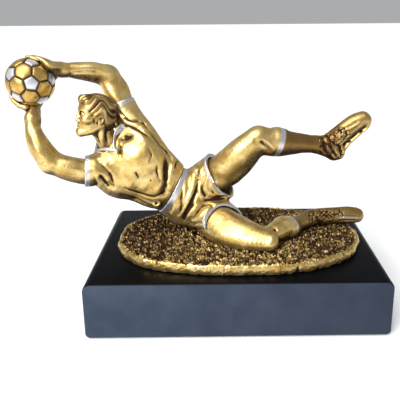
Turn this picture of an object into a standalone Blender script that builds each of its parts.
"""A goalkeeper figure trophy, built as the castings, pins and fasteners that it comes apart into.

Frame: +Z up, -Y towards the viewer, origin at the centre of the underside of the felt pad.
Run with: blender --background --python part.py
"""

import math

import bmesh
import bpy
from mathutils import Matrix, Vector

MM = 0.001
FIT_GAP = 0.3 * MM  # the glue line or clearance between any two pieces

# Plinth block, an extrusion of its rounded front outline
BASE_WIDTH = 186 * MM
BASE_DEPTH = 110 * MM
BASE_TOP = 38 * MM
BASE_TOP_CORNER = 5.5 * MM
BASE_FOOT_CORNER = 3 * MM
BASE_EDGE = 0.8 * MM
PAD_THICKNESS = 1.4 * MM
PAD_PROUD = 0.5 * MM
PAD_MARGIN = 5 * MM

# Turf casting
TURF_BOTTOM = BASE_TOP + FIT_GAP
TURF_TOP = 46 * MM
TURF_CENTRE = Vector((1.5, -2.5, 0)) * MM
TURF_HALF_X = 81.5 * MM
TURF_HALF_Y = 45.5 * MM
TURF_SQUARENESS = 2.35  # exponent of the outline's superellipse

# Fasteners that hold the turf down on the block
SCREW_X = 48 * MM
SCREW_Y = 18 * MM
SCREW_RADIUS = 2.0 * MM
SCREW_HOLE_RADIUS = 2.5 * MM
SCREW_HEAD_RADIUS = 3.9 * MM
SCREW_HEAD_HEIGHT = 2.8 * MM
SCREW_TIP = 43.2 * MM
COUNTERBORE_RADIUS = 6.5 * MM
COUNTERBORE_TOP = 27 * MM
WASHER_RADIUS = 5.4 * MM
WASHER_THICKNESS = 1.0 * MM
INSERT_RADIUS = 3.6 * MM
INSERT_TOP = 44 * MM

# Steel pins across the glued joints
PIN_RADIUS = 1.2 * MM
SIDES = 20


def at(x, y, z):
    """A place given in millimetres."""
    return Vector((x, y, z)) * MM


# Skeleton of the figure. His right side is the viewer's left.
WAIST = at(-43.5, 6, 74)
NECK_BASE = at(-81, 0, 105.5)
SPINE = (NECK_BASE - WAIST).normalized()
CHEST_FRONT = (Vector((0, -1, 0)) + SPINE * SPINE.y).normalized()
HIS_LEFT = SPINE.cross(CHEST_FRONT)
SKULL = at(-87, -5, 127.5)
FACE = Vector((-0.83, -0.50, 0.24)).normalized()
CROWN = Vector((0.21, 0.12, 0.97)).normalized()
BALL_CENTRE = at(-123.8, -2, 146.6)
BALL_RADIUS = 14.6 * MM

LEFT_ARM = [at(-70, 10.5, 124), at(-73.3, 12.2, 131), at(-77.5, 14, 141), at(-82.2, 14.5, 147.8)]
LEFT_FOREARM = [at(-80.5, 14.5, 147.5), at(-88.5, 11.5, 150.3), at(-96.5, 7.5, 152), at(-104.5, 3, 153.3)]
RIGHT_ARM = [at(-90, -7, 91.6), at(-97, -9, 92.4), at(-105, -11, 95.2), at(-114.8, -12.5, 99.6)]
RIGHT_FOREARM = [
    at(-113.8, -12.5, 99.8),
    at(-119.6, -11.5, 108),
    at(-123.2, -9, 116),
    at(-124.6, -6.5, 123.5),
]
LEFT_THIGH = [at(-19, 10.5, 77), at(-8, 8, 86.3), at(4, 5, 98.6), at(14, 2.5, 109)]
LEFT_SHIN = [at(14.5, 2.5, 109), at(25.5, 4, 106.8), at(41, 8, 104.6), at(56, 11.5, 102.5)]
RIGHT_THIGH = [at(-21, 3.5, 57.5), at(-10, -10, 55.5), at(3, -19.5, 54), at(18, -25.5, 53.2)]
RIGHT_SHIN = [at(21, -21, 52.6), at(29, -13.5, 52.8), at(38, -6, 52), at(48, 3.5, 51.5)]


def clear_scene():
    for old in list(bpy.data.objects):
        bpy.data.objects.remove(old)


def paint(name, colour, roughness, metallic):
    """A Principled material."""
    material = bpy.data.materials.new(name)
    material.use_nodes = True
    shader = material.node_tree.nodes["Principled BSDF"]
    shader.inputs["Base Color"].default_value = (*colour, 1)
    shader.inputs["Roughness"].default_value = roughness
    shader.inputs["Metallic"].default_value = metallic
    return material


def new_object(name, mesh, material=None):
    made = bpy.data.objects.new(name, mesh)
    bpy.context.scene.collection.objects.link(made)
    if material:
        made.data.materials.append(material)
    return made


def mesh_from(name, shape):
    """Turns a bmesh into a mesh, smooth except at its sharp edges, and frees it."""
    bmesh.ops.recalc_face_normals(shape, faces=shape.faces)
    mesh = bpy.data.meshes.new(name)
    shape.to_mesh(mesh)
    shape.free()
    mesh.shade_smooth()
    mesh.set_sharp_from_angle(angle=math.radians(40))
    return mesh


def bridge(shape, rings):
    """Joins rings of equal length with quads, and closes both ends with a fan or a flat face."""
    for low, high in zip(rings, rings[1:]):
        for i in range(len(low)):
            j = (i + 1) % len(low)
            shape.faces.new((low[i], low[j], high[j], high[i]))
    shape.faces.new(rings[0])
    shape.faces.new(rings[-1])


def smooth_path(points, radii, steps):
    """Catmull-Rom points and radii between the given ones."""
    places = []
    sizes = []
    last = len(points) - 1
    for i in range(last):
        before, start, end, after = (points[j] for j in (max(i - 1, 0), i, i + 1, min(i + 2, last)))
        for step in range(steps):
            t = step / steps
            curve = (
                start * 2
                + (end - before) * t
                + (before * 2 - start * 5 + end * 4 - after) * t**2
                + (start * 3 - before - end * 3 + after) * t**3
            )
            places.append(curve / 2)
            sizes.append(radii[i].lerp(radii[i + 1], t))
    return places + [points[-1]], sizes + [radii[-1]]


def limb(shape, points, radii, side=Vector((0, 1, 0)), grow=0.0, steps=3, sides=SIDES):
    """Adds a closed tube along points. A radius (mm) is one number, or (along side, across it)."""
    pairs = [Vector(r if isinstance(r, tuple) else (r, r)) * MM + Vector((grow, grow)) for r in radii]
    places, sizes = smooth_path(points, pairs, steps)
    rings = []
    for i, (place, size) in enumerate(zip(places, sizes)):
        ahead = (places[min(i + 1, len(places) - 1)] - places[max(i - 1, 0)]).normalized()
        first = (side - ahead * side.dot(ahead)).normalized()
        second = ahead.cross(first)
        rim = []
        for k in range(sides):
            angle = 2 * math.pi * k / sides
            offset = first * (math.cos(angle) * size.x) + second * (math.sin(angle) * size.y)
            rim.append(shape.verts.new(place + offset))
        rings.append(rim)
    bridge(shape, rings)


def ellipsoid(shape, centre, radii, axes):
    """Adds an ellipsoid with radii in millimetres along the three axes."""
    turn = Matrix(axes).transposed().to_4x4()
    stretch = Matrix.Diagonal([r * MM for r in radii] + [1])
    place = Matrix.Translation(centre) @ turn @ stretch
    bmesh.ops.create_uvsphere(shape, u_segments=24, v_segments=16, radius=1, matrix=place)


def knob(shape, centre, radius):
    """Adds a ball that rounds off a joint of the body."""
    ellipsoid(shape, centre, (radius, radius, radius), ((1, 0, 0), (0, 1, 0), (0, 0, 1)))


def cylinder(shape, start, end, radius, sides=SIDES):
    """Adds a cylinder from start to end."""
    axis = end - start
    place = Matrix.Translation((start + end) / 2) @ axis.to_track_quat("Z", "Y").to_matrix().to_4x4()
    bmesh.ops.create_cone(
        shape,
        cap_ends=True,
        segments=sides,
        radius1=radius,
        radius2=radius,
        depth=axis.length,
        matrix=place,
    )


def evaluated_mesh(obj):
    """The object's mesh with its modifiers applied."""
    graph = bpy.context.evaluated_depsgraph_get()
    return bpy.data.meshes.new_from_object(obj.evaluated_get(graph))


def casting(name, build, material, faces, voxel=0.8, smoothing=6):
    """A cast piece: overlapping shapes welded, softened and reduced to about this many faces."""
    shape = bmesh.new()
    build(shape)
    rough = new_object(name + "_rough", mesh_from(name, shape))
    weld = rough.modifiers.new("Weld", "REMESH")
    weld.mode = "VOXEL"
    weld.voxel_size = voxel * MM
    soften = rough.modifiers.new("Soften", "SMOOTH")
    soften.iterations = smoothing
    dense = evaluated_mesh(rough)
    reduce = rough.modifiers.new("Reduce", "DECIMATE")
    reduce.ratio = faces / (2 * len(dense.polygons))
    mesh = evaluated_mesh(rough)
    bpy.data.objects.remove(rough)
    mesh.name = name
    mesh.shade_smooth()
    return new_object(name, mesh, material)


def trim(obj, point, outward):
    """Saws the piece flat at a plane, and throws away what is on the outward side."""
    shape = bmesh.new()
    shape.from_mesh(obj.data)
    everything = shape.verts[:] + shape.edges[:] + shape.faces[:]
    bmesh.ops.bisect_plane(shape, geom=everything, plane_co=point, plane_no=outward, clear_outer=True)
    rim = [edge for edge in shape.edges if edge.is_boundary]
    bmesh.ops.edgeloop_fill(shape, edges=rim)
    bmesh.ops.recalc_face_normals(shape, faces=shape.faces)
    shape.to_mesh(obj.data)
    shape.free()


def cutter(name, build):
    """A helper solid that Booleans take away. It isn't part of the trophy."""
    shape = bmesh.new()
    build(shape)
    helper = new_object(name + "_cutter", mesh_from(name, shape))
    helper.hide_render = True
    helper.display_type = "WIRE"
    return helper


def cut(obj, helper, operation="DIFFERENCE"):
    step = obj.modifiers.new(helper.name, "BOOLEAN")
    step.operation = operation
    step.object = helper


def turned(name, build, material):
    """A machined or moulded piece, made directly from its shape."""
    shape = bmesh.new()
    build(shape)
    return new_object(name, mesh_from(name, shape), material)


def pin(name, start, end, material, *holders, radius=PIN_RADIUS):
    """A steel pin from start to end, and its blind hole in each piece that it locates."""
    turned(name, lambda shape: cylinder(shape, start, end, radius, 12), material)
    reach = (end - start).normalized() * FIT_GAP
    hole = cutter(name, lambda shape: cylinder(shape, start - reach, end + reach, radius + FIT_GAP, 12))
    for holder in holders:
        cut(holder, hole)


# ---------------------------------------------------------------- plinth and turf


def rounded_outline(half_width, low, high, low_radius, high_radius, steps=5):
    """The block's front outline, anticlockwise from its lower right corner."""
    corners = [
        (half_width, low, low_radius, -90),
        (half_width, high, high_radius, 0),
        (-half_width, high, high_radius, 90),
        (-half_width, low, low_radius, 180),
    ]
    outline = []
    for x, z, radius, start in corners:
        centre_x = x - math.copysign(radius, x)
        centre_z = z + radius if z == low else z - radius
        for step in range(steps + 1):
            angle = math.radians(start + 90 * step / steps)
            outline.append((centre_x + radius * math.cos(angle), centre_z + radius * math.sin(angle)))
    return outline


def build_block(shape):
    outer = rounded_outline(BASE_WIDTH / 2, PAD_PROUD, BASE_TOP, BASE_FOOT_CORNER, BASE_TOP_CORNER)
    inner = rounded_outline(
        BASE_WIDTH / 2 - BASE_EDGE,
        PAD_PROUD + BASE_EDGE,
        BASE_TOP - BASE_EDGE,
        BASE_FOOT_CORNER - BASE_EDGE,
        BASE_TOP_CORNER - BASE_EDGE,
    )
    half = BASE_DEPTH / 2
    stations = [(inner, -half), (outer, BASE_EDGE - half), (outer, half - BASE_EDGE), (inner, half)]
    bridge(shape, [[shape.verts.new((x, y, z)) for x, z in outline] for outline, y in stations])


def pad_slab(shape, bottom, top, grow):
    half_x = BASE_WIDTH / 2 - PAD_MARGIN + grow
    half_y = BASE_DEPTH / 2 - PAD_MARGIN + grow
    size = Matrix.Diagonal((2 * half_x, 2 * half_y, top - bottom, 1))
    bmesh.ops.create_cube(shape, size=1, matrix=Matrix.Translation((0, 0, (top + bottom) / 2)) @ size)


def turf_ring(shape, height, inset, points=48):
    """One level of the turf's oval, pulled in by inset from its widest outline."""
    ring = []
    for k in range(points):
        angle = 2 * math.pi * k / points
        cos, sin = math.cos(angle), math.sin(angle)
        reach = (abs(cos) ** TURF_SQUARENESS + abs(sin) ** TURF_SQUARENESS) ** (-1 / TURF_SQUARENESS)
        x = reach * cos * (TURF_HALF_X - inset)
        y = reach * sin * (TURF_HALF_Y - inset)
        ring.append(shape.verts.new((TURF_CENTRE.x + x, TURF_CENTRE.y + y, height)))
    return ring


def build_turf(shape):
    depth = TURF_TOP - TURF_BOTTOM
    profile = [(0, 1.2), (0.18, 0.2), (0.5, 0.0), (0.8, 0.7), (0.95, 2.0), (1, 4.0)]
    bridge(shape, [turf_ring(shape, TURF_BOTTOM + depth * share, inset * MM) for share, inset in profile])


def fasten(name, x, block, turf, steel, brass):
    """A screw and washer from under the block, into an insert cast in the turf."""
    y = TURF_CENTRE.y + SCREW_Y

    def rise(low, high, radius):
        return lambda shape: cylinder(shape, Vector((x, y, low)), Vector((x, y, high)), radius)

    below = -1 * MM
    cut(block, cutter("counterbore_" + name, rise(below, COUNTERBORE_TOP, COUNTERBORE_RADIUS)))
    cut(block, cutter("clearance_" + name, rise(COUNTERBORE_TOP - MM, BASE_TOP + MM, SCREW_HOLE_RADIUS)))
    cut(turf, cutter("pocket_" + name, rise(BASE_TOP, INSERT_TOP + FIT_GAP, INSERT_RADIUS + FIT_GAP)))

    washer_top = COUNTERBORE_TOP - FIT_GAP
    washer_bottom = washer_top - WASHER_THICKNESS
    washer = turned("washer_" + name, rise(washer_bottom, washer_top, WASHER_RADIUS), steel)
    hole = cutter("washer_hole_" + name, rise(washer_bottom - MM, washer_top + MM, SCREW_HOLE_RADIUS))
    cut(washer, hole)
    insert = turned("threaded_insert_" + name, rise(TURF_BOTTOM, INSERT_TOP, INSERT_RADIUS), brass)
    thread = rise(BASE_TOP, SCREW_TIP + FIT_GAP, SCREW_RADIUS + FIT_GAP)
    cut(insert, cutter("thread_" + name, thread))

    head_top = washer_bottom - FIT_GAP
    head_bottom = head_top - SCREW_HEAD_HEIGHT

    def build_screw(shape):
        rings = []
        for radius, z in [
            (SCREW_HEAD_RADIUS * 0.85, head_bottom),
            (SCREW_HEAD_RADIUS, head_bottom + 0.6 * MM),
            (SCREW_HEAD_RADIUS, head_top),
            (SCREW_RADIUS, head_top),
            (SCREW_RADIUS, SCREW_TIP - 0.6 * MM),
            (SCREW_RADIUS * 0.7, SCREW_TIP),
        ]:
            spots = [2 * math.pi * k / SIDES for k in range(SIDES)]
            ring = [(x + radius * math.cos(a), y + radius * math.sin(a), z) for a in spots]
            rings.append([shape.verts.new(place) for place in ring])
        bridge(shape, rings)

    screw = turned("fixing_screw_" + name, build_screw, steel)

    def build_slot(shape):
        slot = Matrix.Diagonal((2 * SCREW_HEAD_RADIUS + MM, 1.0 * MM, 2.2 * MM, 1))
        bmesh.ops.create_cube(shape, size=1, matrix=Matrix.Translation((x, y, head_bottom)) @ slot)

    cut(screw, cutter("slot_" + name, build_slot))


# ---------------------------------------------------------------- figure


def on_torso(along, left, front):
    """A place on the trunk: along the spine from the waist, to his left, and forwards, in millimetres."""
    return WAIST + (SPINE * along + HIS_LEFT * left + CHEST_FRONT * front) * MM


def on_head(forward, left, up):
    """A place on the head, from the middle of the skull, in millimetres."""
    return SKULL + (FACE * forward + CROWN.cross(FACE) * left + CROWN * up) * MM


def build_torso(shape):
    trunk = [on_torso(a, 0, c) for a, c in [(-3, 0), (8, 0), (18, 0.5), (30, 0.5), (39, 0), (47, -1)]]
    limb(shape, trunk, [(15.8, 11.5), (19, 12), (21.5, 13), (23.2, 13), (18.5, 11), (9, 8)], side=HIS_LEFT)
    left_sleeve = [on_torso(22, 11, -1), on_torso(33, 15, -2), at(-69, 10, 122.5), at(-72.8, 12, 130.5)]
    limb(shape, left_sleeve, [9, 12, 9.3, 8.5])
    right_sleeve = [on_torso(24, -10, 0), on_torso(30, -17, 1), at(-85, -5.5, 92), at(-95.3, -8.5, 92)]
    limb(shape, right_sleeve, [9, 12, 10, 9.6])
    for side in (-1, 1):
        chest_muscle = on_torso(29, 9 * side, 6)
        ellipsoid(shape, chest_muscle, (10, 11, 7.5), (SPINE, HIS_LEFT, CHEST_FRONT))
    collar = [at(-87.5, -3, 103), at(-86, -8.5, 105.5), at(-79, -10.5, 107)]
    collar += [at(-73.5, -6, 112), at(-74, 3, 115)]
    limb(shape, collar, [1.6, 2, 2, 2.4, 2], sides=10)


def build_shorts(shape):
    pelvis = [on_torso(2, 0, 0), on_torso(-6, 0, 0), at(-33, 8, 66.5), at(-26, 8, 63.5)]
    limb(shape, pelvis, [(15.8, 12), (17.3, 13.5), (18.5, 16), (14, 13)], side=HIS_LEFT)
    left_side = [at(-31, 9, 68), at(-22, 10, 73.5), at(-12, 9.2, 81.6), at(-8.5, 8.5, 84.8)]
    limb(shape, left_side, [15, 14.8, 14.6, 14.4])
    right_side = [at(-31, 9, 62), at(-21, 2.8, 59.5), at(-11.5, -8.5, 57.6), at(-5, -13.5, 56.8)]
    limb(shape, right_side, [16, 15.6, 15, 15])


def build_head(shape):
    axes = (FACE, CROWN.cross(FACE), CROWN)
    ellipsoid(shape, on_head(-0.5, 0, 2), (11.5, 9.6, 11), axes)
    ellipsoid(shape, on_head(3.2, 0, -5), (7.6, 7.2, 9), axes)
    ellipsoid(shape, on_head(7, 0, -10), (3.4, 3.6, 3), axes)
    ellipsoid(shape, on_head(-0.9, 0, 3.8), (11.9, 9.8, 10.4), axes)
    limb(shape, [on_head(10, 0, 0), on_head(12.2, 0, -4)], [1.4, 2.1], sides=10)
    for side in (-1, 1):
        ellipsoid(shape, on_head(-2, 9.6 * side, -2), (2.2, 1.4, 3.4), axes)
    limb(shape, neck_points(), [6.6, 6.4, 6.8])


def neck_points():
    return [on_head(-2.5, 0, -6), at(-82, -1.2, 113), at(-79.6, 0, 103.5)]


def fingers(shape, routes, radius):
    """Fingers bent round the ball, each along its route of places over the ball's skin."""
    for route in routes:
        limb(shape, [on_ball(*place) for place in route], [radius * 1.1, radius, radius * 0.9], sides=10)


def on_ball(x, y, z, lift):
    """A place this far above the ball's skin, in the given direction from its centre."""
    return BALL_CENTRE + Vector((x, y, z)).normalized() * (BALL_RADIUS + lift * MM)


def build_left_arm(shape):
    limb(shape, LEFT_ARM, [7.0, 7.0, 6.8, 6.3])
    knob(shape, LEFT_FOREARM[0], 6.4)
    limb(shape, LEFT_FOREARM, [6.4, 6.1, 5.1, 3.9])
    knuckles = [(1, 0.18, 0.55, 3.2), (0.74, 0.3, 0.72, 2.6), (0.42, 0.5, 0.76, 2.2)]
    palm = [at(-103.5, 2.8, 153)] + [on_ball(*place) for place in knuckles]
    limb(shape, palm, [(4.2, 4.4), (5.4, 4), (5.8, 3), (5.4, 2.4)], side=Vector((0.25, 0.85, -0.45)))
    routes = [
        [(0.44, 0.22, 0.88, 1.9), (0.08, 0.48, 0.87, 1.7), (-0.28, 0.7, 0.66, 1.3)],
        [(0.42, 0.46, 0.78, 2.0), (0.04, 0.7, 0.7, 1.8), (-0.3, 0.86, 0.44, 1.3)],
        [(0.46, 0.66, 0.6, 1.9), (0.14, 0.88, 0.46, 1.8), (-0.16, 0.95, 0.3, 1.3)],
        [(0.54, 0.78, 0.36, 1.8), (0.3, 0.93, 0.22, 1.6), (0.06, 0.98, 0.12, 1.3)],
    ]
    fingers(shape, routes, 1.8)
    thumb = [on_ball(1, 0.24, 0.42, 2.6), on_ball(0.92, 0.4, 0.02, 1.9), on_ball(0.84, 0.52, -0.24, 1.4)]
    limb(shape, thumb, [2.3, 2.0, 1.7], sides=10)


def build_right_arm(shape):
    limb(shape, RIGHT_ARM, [7.4, 7.8, 7.4, 6.6])
    knob(shape, RIGHT_FOREARM[0], 6.8)
    limb(shape, RIGHT_FOREARM, [6.8, 6.5, 4.9, 4.1])
    knuckles = [(-0.06, 0.02, -1, 3.6), (-0.2, 0.24, -0.95, 2.6), (-0.34, 0.46, -0.8, 2.2)]
    palm = [at(-124.6, -6, 122.5)] + [on_ball(*place) for place in knuckles]
    limb(shape, palm, [(4.6, 4.4), (5.8, 4.2), (6, 3), (5.6, 2.4)], side=Vector((0.9, 0.4, -0.1)))
    routes = [
        [(-0.62, 0.22, -0.75, 2.0), (-0.86, 0.41, -0.3, 1.7), (-0.93, 0.5, 0.02, 1.3)],
        [(-0.42, 0.46, -0.78, 2.0), (-0.64, 0.7, -0.4, 1.8), (-0.72, 0.76, -0.1, 1.3)],
        [(-0.18, 0.58, -0.8, 2.0), (-0.3, 0.84, -0.46, 1.8), (-0.38, 0.92, -0.22, 1.3)],
        [(0.08, 0.6, -0.8, 1.8), (0.07, 0.86, -0.52, 1.6), (0.03, 0.95, -0.32, 1.3)],
    ]
    fingers(shape, routes, 1.8)
    thumb = [at(-126.3, -7.5, 127.5), on_ball(-0.42, -0.34, -0.92, 2.1), on_ball(-0.8, -0.24, -0.56, 1.6)]
    limb(shape, thumb, [2.9, 2.2, 1.8], sides=10)


def build_left_leg(shape):
    limb(shape, LEFT_THIGH, [11.4, 11, 10, 8])
    knob(shape, LEFT_THIGH[3], 8)
    limb(shape, LEFT_SHIN, [7.8, 8.3, 6.4, 5.2])
    limb(shape, [at(56, 11.5, 102.5), at(66, 13.5, 97.5)], [5.4, 4.6])
    knob(shape, at(65.5, 13.5, 98), 4.8)
    foot = [at(63.5, 13, 100), at(70.5, 14, 107), at(79, 15, 114.5), at(86, 16, 120)]
    limb(shape, foot, [(4.6, 6.2), (4.8, 5.8), (4.8, 5.2), (3.4, 3.2)])


def build_right_leg(shape):
    limb(shape, RIGHT_THIGH, [12, 11.6, 10, 7.8])
    knob(shape, at(18.5, -25, 53), 7.4)
    limb(shape, RIGHT_SHIN, [6.6, 7.2, 5.8, 4.8])
    foot = [at(47, 3.5, 51.8), at(56, 8.6, 51.6), at(69, 12, 51.4), at(80, 13.6, 51), at(86, 14.2, 50.8)]
    limb(shape, foot, [4.9, 5.4, 5.4, 5.4, 4.4], side=Vector((0, 0, 1)))


def socket(obj, name, points, radii, **shape_of):
    """Hollows a garment's opening, a little wider than the limb that goes in."""
    cut(obj, cutter(name, lambda shape: limb(shape, points, radii, grow=FIT_GAP, **shape_of)))


def build_figure(turf, gold, silver_gold, steel):
    torso = casting("torso_jersey", build_torso, gold, 1100)
    shorts = casting("shorts", build_shorts, gold, 800)
    head = casting("head", build_head, gold, 1000, voxel=0.5, smoothing=3)
    left_arm = casting("left_arm", build_left_arm, gold, 1100, voxel=0.45, smoothing=3)
    right_arm = casting("right_arm", build_right_arm, gold, 1100, voxel=0.45, smoothing=3)
    left_leg = casting("left_leg", build_left_leg, gold, 750)
    right_leg = casting("right_leg", build_right_leg, gold, 750)
    ball = turned("ball", build_ball, silver_gold)

    # Flat glue faces, each set back half the glue line
    trim(torso, WAIST + SPINE * FIT_GAP / 2, -SPINE)
    trim(shorts, WAIST - SPINE * FIT_GAP / 2, SPINE)
    left_up = (LEFT_ARM[1] - LEFT_ARM[0]).normalized()
    trim(torso, at(-73.2, 12, 130), left_up)
    trim(left_arm, LEFT_ARM[0] + left_up * FIT_GAP, -left_up)
    right_out = (RIGHT_ARM[1] - RIGHT_ARM[0]).normalized()
    trim(torso, at(-95, -8.5, 92), right_out)
    trim(right_arm, RIGHT_ARM[0] + right_out * FIT_GAP, -right_out)
    neck_up = (neck_points()[1] - neck_points()[2]).normalized()
    trim(head, neck_points()[2] + neck_up * 2 * FIT_GAP, -neck_up)
    left_leg_out = (LEFT_THIGH[1] - LEFT_THIGH[0]).normalized()
    trim(left_leg, LEFT_THIGH[0] + left_leg_out * FIT_GAP, -left_leg_out)
    trim(shorts, at(-8.5, 9, 83.5), left_leg_out)
    right_leg_out = (RIGHT_THIGH[1] - RIGHT_THIGH[0]).normalized()
    trim(right_leg, RIGHT_THIGH[0] + right_leg_out * FIT_GAP, -right_leg_out)
    trim(shorts, at(-9.8, -9.8, 57.2), Vector((0.7, -0.58, -0.36)).normalized())
    for grounded in (shorts, right_leg):
        trim(grounded, Vector((0, 0, TURF_TOP + FIT_GAP)), Vector((0, 0, -1)))

    # Openings of the jersey and the shorts
    socket(torso, "left_sleeve", LEFT_ARM, [7.2, 7.4, 7.2, 7])
    socket(torso, "right_sleeve", RIGHT_ARM, [7.6, 8, 7.8, 7.6])
    socket(torso, "neck_hole", neck_points(), [7.2, 7.0, 7.2])
    socket(shorts, "left_short", LEFT_THIGH, [11.7, 12.2, 13, 14])
    socket(shorts, "right_short", RIGHT_THIGH, [12.4, 13, 13, 13])

    # The hands keep a glue line to the ball
    clearance = cutter("ball_clearance", lambda shape: build_ball(shape, FIT_GAP))
    cut(left_arm, clearance)
    cut(right_arm, clearance)

    reach = 6 * MM
    pin("waist_pin_left", on_torso(-6, 6, 0), on_torso(6, 6, 0), steel, torso, shorts)
    pin("waist_pin_right", on_torso(-6, -6, 0), on_torso(6, -6, 0), steel, torso, shorts)
    neck_foot = neck_points()[2]
    pin("neck_pin", neck_foot - neck_up * reach, neck_foot + neck_up * reach, steel, torso, head)
    for name, root, out, inner, outer in [
        ("left_arm_pin", LEFT_ARM[0], left_up, torso, left_arm),
        ("right_arm_pin", RIGHT_ARM[0], right_out, torso, right_arm),
        ("left_leg_pin", LEFT_THIGH[0], left_leg_out, shorts, left_leg),
        ("right_leg_pin", RIGHT_THIGH[0], right_leg_out, shorts, right_leg),
    ]:
        pin(name, root - out * reach, root + out * reach, steel, inner, outer)
    left_grip = on_ball(0.62, 0.38, 0.74, 0) - BALL_CENTRE
    right_grip = on_ball(-0.1, 0.1, -1, 0) - BALL_CENTRE
    grips = [("left_hand_pin", left_grip, left_arm), ("right_hand_pin", right_grip, right_arm)]
    for name, grip, hand in grips:
        start, end = BALL_CENTRE + grip * 0.65, BALL_CENTRE + grip * 1.16
        pin(name, start, end, steel, ball, hand, radius=0.8 * MM)
    for name, spot, holder in [
        ("seat_pin", at(-34, 9, 46), shorts),
        ("thigh_pin", at(2, -18.5, 46), right_leg),
        ("boot_pin", at(72, 13, 46), right_leg),
    ]:
        low = Vector((spot.x, spot.y, TURF_TOP - 5 * MM))
        high = Vector((spot.x, spot.y, TURF_TOP + 4 * MM))
        pin(name, low, high, steel, turf, holder)


def build_ball(shape, grow=0.0):
    bmesh.ops.create_icosphere(
        shape, subdivisions=3, radius=BALL_RADIUS + grow, matrix=Matrix.Translation(BALL_CENTRE)
    )


def main():
    clear_scene()
    black = paint("black_lacquer", (0.02, 0.025, 0.033), 0.3, 0.0)
    felt = paint("black_felt", (0.015, 0.015, 0.015), 0.95, 0.0)
    steel = paint("zinc_steel", (0.55, 0.56, 0.58), 0.35, 1.0)
    brass = paint("brass", (0.72, 0.55, 0.25), 0.35, 1.0)
    gold = paint("antique_gold", (0.66, 0.47, 0.18), 0.38, 0.85)
    dark_gold = paint("dark_antique_gold", (0.30, 0.20, 0.07), 0.5, 0.7)
    ball_paint = paint("ball_gold", (0.62, 0.44, 0.17), 0.38, 0.85)

    block = turned("base_block", build_block, black)
    recess_top = PAD_THICKNESS + FIT_GAP
    cut(block, cutter("pad_recess", lambda shape: pad_slab(shape, -MM, recess_top, FIT_GAP)))
    turned("felt_pad", lambda shape: pad_slab(shape, 0, PAD_THICKNESS, 0), felt)
    turf = turned("turf_plinth", build_turf, dark_gold)
    for name, side in (("left", -1), ("right", 1)):
        fasten(name, side * SCREW_X, block, turf, steel, brass)
    build_figure(turf, gold, ball_paint, steel)


main()
